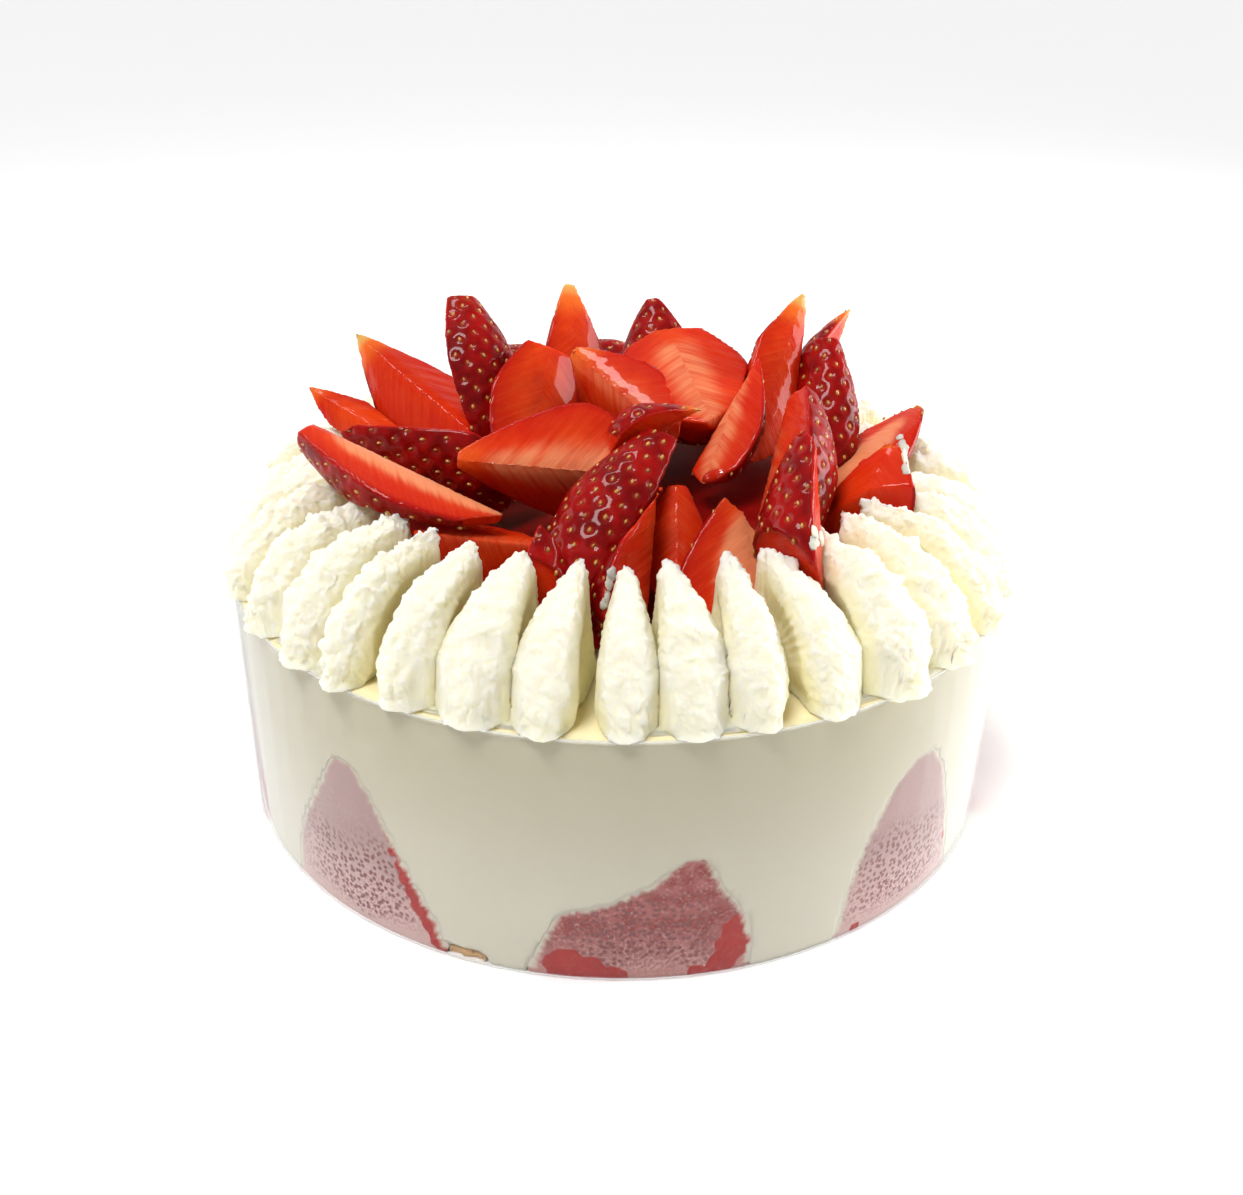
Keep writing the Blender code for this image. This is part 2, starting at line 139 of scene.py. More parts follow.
def wobble(points, size, shift=0.0):
    """Smooth noise from -1 to 1 that changes over about size millimetres."""
    return np.array([noise.noise(Vector(point)) for point in points / size + shift])


def smooth_step(low, high, values):
    share = np.clip((values - low) / (high - low), 0.0, 1.0)
    return share * share * (3.0 - 2.0 * share)


# %% [markdown]
# Every finish is a Principled material with a few textures in front of it. Blender builds these
# node by node in its editor. Here a small class adds a node and returns its result, so that a
# finish reads as a recipe. Patterns read Object coordinates in metres, or the numbers on the
# vertices.

# %% A helper that builds a finish
class Finish:
    def __init__(self, name, **fixed):
        self.material = bpy.data.materials.new(name)
        self.material.use_nodes = True
        self.tree = self.material.node_tree
        self.shader = self.tree.nodes["Principled BSDF"]
        for socket, value in fixed.items():
            self.shader.inputs[socket.replace("_", " ")].default_value = value
        self.place = self.add("ShaderNodeTexCoord").outputs["Object"]

    def add(self, kind, **inputs):
        made = self.tree.nodes.new(kind)
        for name, value in inputs.items():
            self.feed(made.inputs[name.replace("_", " ")], value)
        return made

    def feed(self, socket, value):
        if isinstance(value, bpy.types.NodeSocket):
            self.tree.links.new(value, socket)
        else:
            socket.default_value = value

    def number(self, name):
        made = self.add("ShaderNodeAttribute")
        made.attribute_name = name
        return made.outputs["Fac"]

    def noise(self, size, detail=3.0, roughness=0.55, place=None):
        """Noise whose lumps are about size millimetres wide."""
        made = self.add("ShaderNodeTexNoise", Vector=place or self.place, Scale=1.0 / (size * MM),
                        Detail=detail, Roughness=roughness)
        return made.outputs["Fac"]

    def cells(self, size, flat_place=None):
        """Distance from the middles of cells about size millimetres wide."""
        made = self.add("ShaderNodeTexVoronoi", Vector=flat_place or self.place,
                        Scale=1.0 / (size * MM), Randomness=0.85)
        made.voronoi_dimensions = "2D" if flat_place else "3D"
        return made.outputs["Distance"]

    def span(self, value, low, high, to_low=0.0, to_high=1.0):
        made = self.add("ShaderNodeMapRange")
        made.interpolation_type = "SMOOTHSTEP"
        for index, setting in enumerate((value, low, high, to_low, to_high)):
            self.feed(made.inputs[index], setting)
        return made.outputs["Result"]

    def sum(self, operation, first, second):
        made = self.add("ShaderNodeMath")
        made.operation = operation
        self.feed(made.inputs[0], first)
        self.feed(made.inputs[1], second)
        return made.outputs["Value"]

    def blend(self, share, first, second):
        made = self.add("ShaderNodeMix")
        made.data_type = "RGBA"
        self.feed(made.inputs["Factor"], share)
        colours = [socket for socket in made.inputs if socket.type == "RGBA"]
        for socket, value in zip(colours, (first, second)):
            self.feed(socket, value if isinstance(value, bpy.types.NodeSocket) else (*value, 1.0))
        return [socket for socket in made.outputs if socket.type == "RGBA"][0]

    def join(self, x, y, z):
        made = self.add("ShaderNodeCombineXYZ", X=x, Y=y, Z=z)
        return made.outputs["Vector"]

    def colour(self, value):
        self.feed(self.shader.inputs["Base Color"], value)

    def bump(self, height, depth, strength=1.0):
        made = self.add("ShaderNodeBump", Height=height, Distance=depth * MM, Strength=strength)
        self.feed(self.shader.inputs["Normal"], made.outputs["Normal"])

    def give(self, piece):
        piece.data.materials.clear()
        piece.data.materials.append(self.material)


# %% [markdown]
# ## The camera, the floor and the light
#
# The camera's height, tilt and lens come from the ellipses that the collar's two rims draw in the
# picture, so the cake fills the frame as it does there.

# %% Camera
IMAGE_WIDTH = 1243.0
FOCAL_PIXELS = 1339.9
CAMERA_PITCH = math.radians(27.14)
CAMERA_ROLL = math.radians(0.89)
CAMERA_DISTANCE = 3.856 * FILM_RADIUS * MM
CAMERA_RIGHT = 0.0063 * FILM_RADIUS * MM
CAMERA_UP = 0.3946 * FILM_RADIUS * MM

forward = Vector((0.0, math.cos(CAMERA_PITCH), -math.sin(CAMERA_PITCH)))
level_right = Vector((1.0, 0.0, 0.0))
level_up = Vector((0.0, math.sin(CAMERA_PITCH), math.cos(CAMERA_PITCH)))
rolled_right = math.cos(CAMERA_ROLL) * level_right + math.sin(CAMERA_ROLL) * level_up
rolled_up = math.cos(CAMERA_ROLL) * level_up - math.sin(CAMERA_ROLL) * level_right
camera = bpy.data.objects.new("camera", bpy.data.cameras.new("camera"))
camera.data.sensor_width = 36.0
camera.data.lens = camera.data.sensor_width * FOCAL_PIXELS / IMAGE_WIDTH
camera.data.clip_start = 0.01
camera.data.clip_end = 20.0
turn = Matrix((rolled_right, rolled_up, -forward)).transposed().to_4x4()
camera_place = CAMERA_RIGHT * level_right + CAMERA_UP * level_up - CAMERA_DISTANCE * forward
camera.matrix_world = Matrix.Translation(camera_place) @ turn
scene.collection.objects.link(camera)
scene.camera = camera
print("camera lens", round(camera.data.lens, 1), "mm")

# %% [markdown]
# The picture is bright and nearly shadowless, with white behind the cake. A white sky all round
# gives that. It is dimmer towards the front, so that the wall of the cake turns grey in the
# middle. A broad soft sun models the fruit and the petals, a softbox at each side whitens the
# wall there, and a small one overhead adds the glints on the glazed fruit.

# %% Floor, sky and lamps
FLOOR_RADIUS = 12.0


def make_stage():
    shape = bmesh.new()
    bmesh.ops.create_circle(shape, cap_ends=True, segments=64, radius=FLOOR_RADIUS)
    floor = add_object("floor", shape)
    paper = Finish("white paper", Roughness=0.9)
    paper.colour((0.93, 0.93, 0.93, 1.0))
    paper.give(floor)


def make_sky(front=0.30, back=0.9, overhead=0.22):
    world = bpy.data.worlds.new("studio")
    world.use_nodes = True
    scene.world = world
    tree = world.node_tree

    def span(value, low, high, to_low, to_high):
        made = tree.nodes.new("ShaderNodeMapRange")
        made.interpolation_type = "SMOOTHSTEP"
        tree.links.new(value, made.inputs["Value"])
        for name, setting in zip(("From Min", "From Max", "To Min", "To Max"),
                                 (low, high, to_low, to_high)):
            if isinstance(setting, bpy.types.NodeSocket):
                tree.links.new(setting, made.inputs[name])
            else:
                made.inputs[name].default_value = setting
        return made.outputs["Result"]

    parts = tree.nodes.new("ShaderNodeSeparateXYZ")
    heading = tree.nodes.new("ShaderNodeTexCoord").outputs["Generated"]
    tree.links.new(heading, parts.inputs["Vector"])
    round_strength = span(parts.outputs["Y"], -0.85, 0.15, front, back)
    strength = span(parts.outputs["Z"], 0.1, 0.6, round_strength, overhead)
    seen = tree.nodes.new("ShaderNodeLightPath").outputs["Is Camera Ray"]
    tree.links.new(span(seen, 0.0, 1.0, strength, 1.0), tree.nodes["Background"].inputs["Strength"])
    tree.nodes["Background"].inputs["Color"].default_value = (1.0, 1.0, 1.0, 1.0)


def make_sun(name, aim_from, strength, spread):
    lamp = bpy.data.lights.new(name, "SUN")
    lamp.energy = strength
    lamp.angle = math.radians(spread)
    made = bpy.data.objects.new(name, lamp)
    made.rotation_mode = "QUATERNION"
    made.rotation_quaternion = (-Vector(aim_from)).to_track_quat("-Z", "Y")
    scene.collection.objects.link(made)


def make_softbox(name, place, aim, size, power):
    lamp = bpy.data.lights.new(name, "AREA")
    lamp.shape = "RECTANGLE"
    lamp.size, lamp.size_y = size
    lamp.energy = power
    made = bpy.data.objects.new(name, lamp)
    made.location = place
    made.rotation_mode = "QUATERNION"
    made.rotation_quaternion = (Vector(aim) - Vector(place)).to_track_quat("-Z", "Y")
    scene.collection.objects.link(made)


make_stage()
make_sky()
make_sun("soft daylight", (-0.30, -0.36, 1.0), 2.5, 24.0)
make_softbox("overhead softbox", (-0.12, 0.22, 0.55), (0.0, 0.0, 0.06), (0.16, 0.09), 0.6)
make_softbox("right softbox", (0.62, 0.10, 0.12), (0.0, 0.0, 0.03), (0.5, 0.5), 6.2)
make_softbox("left softbox", (-0.62, 0.12, 0.12), (0.0, 0.0, 0.03), (0.5, 0.5), 1.3)
print("stage set")

# %% [markdown]
# ## The heap of cut fruit
#
# Each piece is part of a berry: a rounded back of skin between two cuts that meet at its core.
# These are the core's two ends in millimetres from the middle of the cake's top, the direction of
# the skin, the angle between the cuts, the radius, and where and how it tapers, as in the solids.
# The last two numbers say how pale the free tip is, where the berry hadn't ripened, and the core.

# %% The pieces of fruit
BERRIES = (
    ((-63, 13, 26), (-43, 3, 18), (-0.2, 0.75, -0.6), 100, 8, 0.6, 0.08, 0.6, 0.05),
    ((-54, 20, 35), (-28, 2, 20), (-0.32, 0.77, -0.55), 100, 14, 0.6, 0.06, 1.0, 0.08),
    ((-34, 24, 40), (-27, 4, 12), (0.6, -0.8, 0.1), 110, 10, 0.4, 0.45, 0.2, 0.6),
    ((-11, 30, 43), (-6, 10, 14), (-0.5, 0.85, 0.0), 160, 9, 0.6, 0.15, 0.9, 0.05),
    ((-55, -16, 29), (-20, -28, 17), (-0.3, -0.6, -0.75), 95, 12.5, 0.5, 0.48, 0.1, 1.0),
    ((-56, 1, 22), (-16, 6, 14), (0.0, -0.9, -0.35), 110, 14, 0.65, 0.1, 0.0, 0.1),
    ((-14, 12, 35), (-18, -5, 15), (-0.4, 0.85, -0.2), 160, 10, 0.4, 0.5, 0.0, 0.15),
    ((-29, -22, 24), (4, -18, 20), (0.0, 0.95, -0.2), 100, 15, 0.65, 0.15, 0.4, 0.6),
    ((-37, -36, 21), (-12, -30, 12), (-0.1, 0.7, -0.7), 100, 12, 0.35, 0.5, 0.0, 0.3),
    ((-13, -39, 20), (-17, -47, 0), (0.7, -0.7, 0.0), 130, 8, 0.5, 0.2, 0.1, 0.2),
    ((-10, 6, 36), (10, -10, 24), (0.2, 0.9, -0.3), 120, 9, 0.5, 0.2, 0.6, 0.35),
    ((9, 27, 35), (17, -7, 27), (0.0, 0.3, -0.95), 165, 13.5, 0.35, 0.55, 0.0, 0.5),
    ((6, 37, 38), (9, 24, 15), (0.0, -1.0, 0.1), 130, 9, 0.5, 0.2, 0.1, 0.2),
    ((15, -9, 29), (-2, -17, 23), (-0.1, 0.35, 0.93), 100, 7, 0.6, 0.15, 1.0, 0.2),
    ((24, 4, 36), (15, -16, 18), (0.6, 0.75, -0.2), 160, 7.5, 0.5, 0.3, 0.1, 0.5),
    ((8, -17, 26), (-11, -42, 3), (-0.5, -0.6, 0.6), 120, 10, 0.45, 0.45, 0.0, 0.2),
    ((36, 21, 44), (25, 0, 16), (-0.3, 0.9, -0.1), 150, 9, 0.6, 0.08, 1.0, 0.12),
    ((47, 27, 39), (38, 12, 18), (-0.8, 0.3, 0.5), 110, 8, 0.5, 0.15, 0.9, 0.3),
    ((40, 15, 36), (41, -2, 12), (0.1, -0.95, 0.25), 150, 6, 0.5, 0.45, 0.0, 0.2),
    ((30, -6, 31), (21, -34, 8), (0.98, -0.17, 0.2), 95, 13, 0.4, 0.55, 0.1, 0.3),
    ((34, -24, 37), (36, -49, 4), (-0.85, -0.45, 0.0), 95, 13, 0.6, 0.08, 0.1, 0.2),
    ((58, 9, 29), (33, -13, 14), (0.5, 0.4, -0.75), 160, 10, 0.45, 0.2, 0.3, 1.3),
    ((49, -13, 27), (34, -40, 5), (0.6, 0.6, -0.5), 150, 12, 0.5, 0.1, 0.2, 0.0),
    ((7, -33, 25), (5, -49, -1), (-0.98, 0.17, 0.0), 100, 11, 0.65, 0.1, 0.1, 0.2),
    ((22, -32, 23), (23, -50, -2), (-0.3, 0.9, 0.2), 150, 13, 0.5, 0.3, 0.3, 1.2),
    ((10, -26, 22), (10, -40, 5), (0.0, 0.5, -0.3), 130, 7, 0.5, 0.3, 0.0, 0.2),
    ((47, 34, 20), (22, 15, 11), (0.2, -0.4, 0.9), 130, 14, 0.5, 0.3, 0.3, 0.3),
    ((24, 53, 15), (12, 22, 13), (-0.2, 0.3, 0.9), 120, 14, 0.5, 0.2, 0.4, 0.3),
    ((-6, 56, 17), (-2, 24, 13), (0.3, -0.3, 0.9), 120, 14, 0.5, 0.2, 0.4, 0.3),
    ((-33, 46, 18), (-15, 20, 13), (0.2, 0.3, 0.9), 120, 14, 0.5, 0.3, 0.3, 0.3),
    ((-52, 26, 14), (-24, 20, 13), (0.0, 0.4, 0.9), 120, 11, 0.5, 0.3, 0.3, 0.3),
    ((-2, 22, 26), (2, 4, 12), (0.0, 0.9, 0.3), 150, 10, 0.5, 0.4, 0.0, 0.3),
)
FRUIT_END = 0.12
print(len(BERRIES), "pieces of fruit")


# %% [markdown]
# To carve a piece, each vertex needs to know where it is in its berry: how far along the core,
# how far out, and how deep under the cuts and under the skin. The back is also pushed out to the
# round surface that the flat faces of the solid only touch at their corners.

# %% Where a vertex is in its berry
class Berry:
    def __init__(self, row):
        free, buried, skin, wedge, self.radius, self.peak, self.blunt, self.pale, self.heart = row
        self.free = np.array(free, float)
        reach = np.array(buried, float) - self.free
        self.length = np.linalg.norm(reach)
        self.core = reach / self.length
        outward = np.array(skin, float)
        outward -= self.core * (outward @ self.core)
        self.outward = outward / np.linalg.norm(outward)
        self.across = np.cross(self.core, self.outward)
        self.half = math.radians(wedge / 2)

    def width(self, share):
        """The berry's radius at a share of its length."""
        share = np.clip(share, 0.0, 1.0)
        climb = np.minimum(share / self.peak, 1.0)
        rise = (climb + np.sin(math.pi / 2 * climb)) / 2
        fall = np.sqrt(np.clip(1.0 - ((share - self.peak) / (1.0 - self.peak)) ** 2, 0.0, 1.0))
        before = self.blunt + (1.0 - self.blunt) * rise
        after = FRUIT_END + (1.0 - FRUIT_END) * fall
        return self.radius * np.where(share < self.peak, before, after)

    def locate(self, points):
        """Share of the length, distance from the core, and angle from the middle of the skin."""
        offset = points - self.free
        share = offset @ self.core / self.length
        spoke = offset - np.outer(share * self.length, self.core)
        out = np.linalg.norm(spoke, axis=1)
        angle = np.arctan2(spoke @ self.across, spoke @ self.outward)
        return share, out, angle

    def surface(self, share, angle):
        """The point of the round back at a share of the length and an angle."""
        arm = np.outer(np.cos(angle), self.outward) + np.outer(np.sin(angle), self.across)
        middle = self.free + np.outer(share * self.length, self.core)
        return middle + arm * self.width(share)[:, None]


# %% [markdown]
# Seeds sit on the skin in the pattern that sunflowers and pine cones share: each one is a golden
# angle further round than the last. Seeds that fall on a cut, or where a neighbour has pressed
# the piece flat, are left out. Each seed has a dent, and the skin between the dents swells
# unevenly.

# %% Seeds of one piece
GOLDEN_ANGLE = math.pi * (3.0 - math.sqrt(5.0))
SEED_SPACING = 3.1
DENT_DEPTH = 0.42
DENT_WIDTH = 0.85


def seed_spots(berry, skin_points):
    """Places of the seeds on a piece and the directions they face."""
    shares = np.linspace(0.02, 0.98, 400)
    girth = np.cumsum(berry.width(shares))
    count = int(2.0 * math.pi * girth[-1] * berry.length / 400 / SEED_SPACING ** 2)
    steps = (np.arange(count) + 0.5) / count
    share = np.interp(steps * girth[-1], girth, shares)
    angle = (np.arange(count) * GOLDEN_ANGLE + math.pi) % (2.0 * math.pi) - math.pi
    kept = np.abs(angle) < berry.half - 0.09
    spots = berry.surface(share[kept], angle[kept])
    if not len(spots) or not len(skin_points):
        return np.zeros((0, 3))
    gaps = np.linalg.norm(spots[:, None, :] - skin_points[None, ::2, :], axis=2).min(axis=1)
    return spots[gaps < 0.75]


# %% [markdown]
# Now the pieces are carved. The skin gets its dents, and the cuts get what a knife leaves in soft
# fruit: low waves along the fibres and a shallow groove at the core. The numbers kept on the
# vertices tell the material which is skin and which is flesh.

# %% Carve the fruit
FRUIT_VOXEL = 0.40


def carve_berry(number, row):
    berry = Berry(row)
    piece = even_copy(f"top_fruit_{number:02d}", f"cut_berry_{number:02d}", FRUIT_VOXEL, 4)
    points = points_of(piece)
    share, out, angle = berry.locate(points)
    width = berry.width(share)
    under_cut = out * np.sin(np.clip(berry.half - np.abs(angle), 0.0, math.pi / 2))
    under_skin = np.minimum(width - out, np.clip(share, 0.0, 1.0) * berry.length)
    on_back = smooth_step(0.25, 0.6, under_cut) * (1.0 - smooth_step(0.75, 1.15, under_skin))
    spoke = points - berry.free - np.outer(share * berry.length, berry.core)
    spoke /= np.maximum(out, 0.01)[:, None]
    grow = np.clip(width - out, 0.0, 0.5) * on_back * (share > 0.03) * (share < 0.97)
    points += spoke * grow[:, None]
    spots = seed_spots(berry, points[on_back > 0.6])
    dent = np.zeros(len(points))
    if len(spots):
        near = np.linalg.norm(points[:, None, :] - spots[None, :, :], axis=2).min(axis=1)
        dent = np.exp(-((near / DENT_WIDTH) ** 2)) * on_back
    facing = normals_of(piece)
    puff = 0.10 * wobble(points, 4.0, number) * on_back
    fan = np.stack([share * berry.length - out * 0.6, out * 0.25, angle * 2.0], axis=1)
    fibre = 0.10 * wobble(fan, 1.9, number) * (1.0 - on_back)
    groove = (0.3 if berry.half > 1.1 else 0.5) * np.exp(-((out / 1.5) ** 2)) * (1.0 - on_back)
    points += facing * (puff + fibre - groove - DENT_DEPTH * dent)[:, None]
    move_to(piece, points)
    mark(piece, "skin", on_back)
    mark(piece, "dent", dent)
    mark(piece, "along", share * berry.length)
    mark(piece, "out", out / np.maximum(width, 1.0))
    mark(piece, "out_mm", out)
    mark(piece, "round", angle)
    mark(piece, "pale", berry.pale * (1.0 - smooth_step(0.0, 0.3, share)))
    mark(piece, "heart", berry.heart * (1.0 - smooth_step(0.12, 0.72, out / np.maximum(width, 1.0)))
         * smooth_step(0.02, 0.25, share))
    mark(piece, "tone", np.full(len(points), random.Random(number).random()))
    berry_finish.give(piece)
    return piece, berry, spots


# %% [markdown]
# One material serves skin and flesh, mixed by the numbers on the vertices. Flesh is orange-red,
# with pale fibres that fan out from the core, a paler heart where the piece has one, and a dark
# line in the last millimetre before the skin. The glaze is a clear coat over everything.

# %% Finish of the fruit
def make_berry_finish():
    made = Finish("glazed berry", Roughness=0.36, Coat_Weight=0.3, Coat_Roughness=0.03, IOR=1.4,
                  Specular_IOR_Level=0.06, Subsurface_Weight=0.22, Subsurface_Scale=0.004)
    made.shader.inputs["Subsurface Radius"].default_value = (1.0, 0.25, 0.12)
    along, out, out_mm = made.number("along"), made.number("out"), made.number("out_mm")
    tone = made.number("tone")
    slant = made.sum("SUBTRACT", along, made.sum("MULTIPLY", out_mm, 0.75))
    fan = made.join(made.sum("MULTIPLY", slant, 0.001), made.sum("MULTIPLY", out_mm, 0.00010),
                    made.sum("MULTIPLY", made.number("round"), 0.0004))
    fibres = made.noise(0.75, 3.0, 0.6, fan)
    streaks = made.noise(1.25, 3.0, 0.6, fan)
    patches = made.noise(7.0, 2.0)
    red = made.blend(made.span(patches, 0.3, 0.7), (0.62, 0.022, 0.002), (0.75, 0.055, 0.005))
    red = made.blend(made.span(out, 0.35, 0.95, 0.0, 0.85), red, (0.50, 0.009, 0.002))
    red = made.blend(made.span(tone, 0.0, 1.0, 0.0, 0.55), red, (0.55, 0.012, 0.002))
    red = made.blend(made.span(streaks, 0.35, 0.7, 0.0, 0.1), red, (0.80, 0.10, 0.014))
    heart = made.number("heart")
    veins = made.span(made.sum("ADD", streaks, made.sum("MULTIPLY", heart, 0.7)), 0.42, 1.15)
    flesh = made.blend(made.sum("MULTIPLY", veins, made.span(heart, 0.03, 0.6, 0.0, 0.75)), red,
                       (0.86, 0.34, 0.155))
    flesh = made.blend(made.span(fibres, 0.5, 0.75, 0.0, 0.10), flesh, (0.84, 0.20, 0.05))
    flesh = made.blend(made.span(fibres, 0.5, 0.3, 0.0, 0.10), flesh, (0.46, 0.008, 0.003))
    flesh = made.blend(made.span(out, 0.84, 0.99, 0.0, 0.8), flesh, (0.34, 0.004, 0.003))
    skin = made.blend(made.span(made.noise(5.0, 2.0), 0.3, 0.7), (0.17, 0.001, 0.0015),
                      (0.33, 0.004, 0.003))
    dented = made.span(made.number("dent"), 0.25, 0.95, 0.0, 0.4)
    skin = made.blend(dented, skin, (0.52, 0.05, 0.012))
    colour = made.blend(made.span(made.number("skin"), 0.35, 0.75), flesh, skin)
    pale = made.number("pale")
    colour = made.blend(made.span(pale, 0.1, 0.75, 0.0, 0.8), colour, (0.84, 0.17, 0.02))
    colour = made.blend(made.span(pale, 0.72, 0.95, 0.0, 0.75), colour, (0.66, 0.47, 0.13))
    made.colour(colour)
    made.bump(made.sum("ADD", fibres, made.noise(0.9, 4.0, 0.65)), 0.14, 0.7)
    return made


berry_finish = make_berry_finish()
carved = [carve_berry(number + 1, row) for number, row in enumerate(BERRIES)]
print(sum(len(piece.data.polygons) for piece, _, _ in carved), "faces on the fruit")


# %% [markdown]
# The seeds themselves are small drops, from brown to golden. One low ball, stretched and turned
# to lie in its dent, is repeated; all of them are one mesh.

# %% Seeds on the skin
SEED_SIZE = (0.34, 0.56, 0.24)
SEED_SINK = 0.27


def make_seeds():
    dice = random.Random(5)
    shape = bmesh.new()
    shade = shape.verts.layers.float.new("shade")
    for _, berry, spots in carved:
        for spot in spots:
            share, _, angle = berry.locate(spot[None, :])
            arm = berry.outward * math.cos(angle[0]) + berry.across * math.sin(angle[0])
            up = Vector(arm).normalized()
            tipward = Vector(-berry.core)
            tipward = (tipward - up * tipward.dot(up)).normalized()
            side = up.cross(tipward)
            turn_to = Matrix((side, tipward, up)).transposed().to_4x4()
            centre = Vector((spot - arm * SEED_SINK) * MM) + Vector((0.0, 0.0, CAKE_TOP * MM))
            spin = Matrix.Rotation(dice.uniform(-0.35, 0.35), 4, "Z")
            size = dice.uniform(0.85, 1.15) * MM
            fit = Matrix.Diagonal((*(part * size for part in SEED_SIZE), 1.0))
            lie = Matrix.Translation(centre) @ turn_to @ spin @ fit
            ball = bmesh.ops.create_icosphere(shape, subdivisions=1, radius=1.0, matrix=lie)
            value = dice.random()
            for vert in ball["verts"]:
                vert[shade] = value
    seeds = add_object("fruit_seeds", shape)
    seeds.data.shade_smooth()
    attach(seeds, "root")
    finish = Finish("berry seed", Roughness=0.35, Coat_Weight=0.7, Coat_Roughness=0.08)
    finish.colour(finish.blend(finish.number("shade"), (0.33, 0.09, 0.012), (0.60, 0.31, 0.06)))
    finish.give(seeds)
    print(len(seeds.data.polygons), "faces on the seeds")


make_seeds()

# %% [markdown]
# ## The petals of piped cream
#
# Each petal is a thin fin that rises from a broad foot at the rim and leans inwards to a tip.
# Whipped cream tears as the nozzle leaves it, so its ridge is ragged, while the flanks keep fine
# lines that fan out from the inner foot. A vertex finds its own petal by its angle round the
# cake.

# %% The petals' places
PETAL_COUNT = 36
PETAL_STEP = 360.0 / PETAL_COUNT
PETAL_PIVOT = 55.0
PETAL_MIDDLE = 62.5
PETAL_VOXEL = 0.35
SOLID_SEED = 11
FRONT_PETALS = {
    -7: (1.5, 6.0), -6: (2.5, 7.0), -5: (4.0, 8.0), -4: (2.5, 5.0), -3: (1.3, 4.0), -2: (2.0, 1.0),
    -1: (2.0, -3.0), 0: (1.0, -1.0), 1: (-0.6, 0.0), 2: (-0.5, -7.0), 3: (-2.7, -4.0),
    4: (-0.8, -4.0), 5: (0.8, -6.0), 6: (0.5, -4.0), 7: (0.0, -2.0),
}


def petal_frame(number):
    """Middle of a petal and its outward and sideways directions."""
    if number in FRONT_PETALS:
        shift, lean = FRONT_PETALS[number]
    else:
        dice = random.Random(SOLID_SEED + number)
        shift, lean = dice.uniform(-1.2, 1.2), dice.uniform(-3.0, 3.0)
    azimuth = math.radians(number * PETAL_STEP + shift)
    heading = azimuth + math.radians(lean)
    middle = np.array((math.sin(azimuth), -math.cos(azimuth), 0.0)) * PETAL_MIDDLE
    outward = np.array((math.sin(heading), -math.cos(heading), 0.0))
    sideways = np.array((math.cos(heading), math.sin(heading), 0.0))
    return middle, outward, sideways


PETAL_FRAMES = {number: petal_frame(number)
                for number in range(-PETAL_COUNT // 2, PETAL_COUNT // 2)}

# %% [markdown]
# Carving a group takes two steps. First each petal is shaped: its tip is thinned, its foot is
# drawn in to a point, the web between it and the next petal is pressed down, and its ridge is
# made uneven. Then the surface is broken up by cell noise, whose bumps have sharp creases between
# them as torn cream has, coarse on the ridge and at the foot and faint on the flanks, which get
# lines of constant angle instead.

# %% Carve the petals
EDGE_START = -10.0
EDGE_STEP = 5.0
EDGE_COUNT = 30


def crumble(points, size, shift):
    """Noise with round bumps and sharp creases, about size millimetres apart."""
    return np.array([noise.noise(Vector(point), noise_basis="VORONOI_F2F1")
                     for point in points / size + shift])


def edge_of(mine, swing, reach):
    """How far the petal of each vertex reaches in that vertex's direction."""
    slots = np.clip(((swing - EDGE_START) / EDGE_STEP).astype(int), 0, EDGE_COUNT - 1)
    slot_swings = EDGE_START + (np.arange(EDGE_COUNT) + 0.5) * EDGE_STEP
    edge = np.empty(len(reach))
    for petal in range(3):
        own = mine == petal
        largest = np.zeros(EDGE_COUNT)
        np.maximum.at(largest, slots[own], reach[own])
        edge[own] = np.interp(swing[own], slot_swings, largest)
    return edge


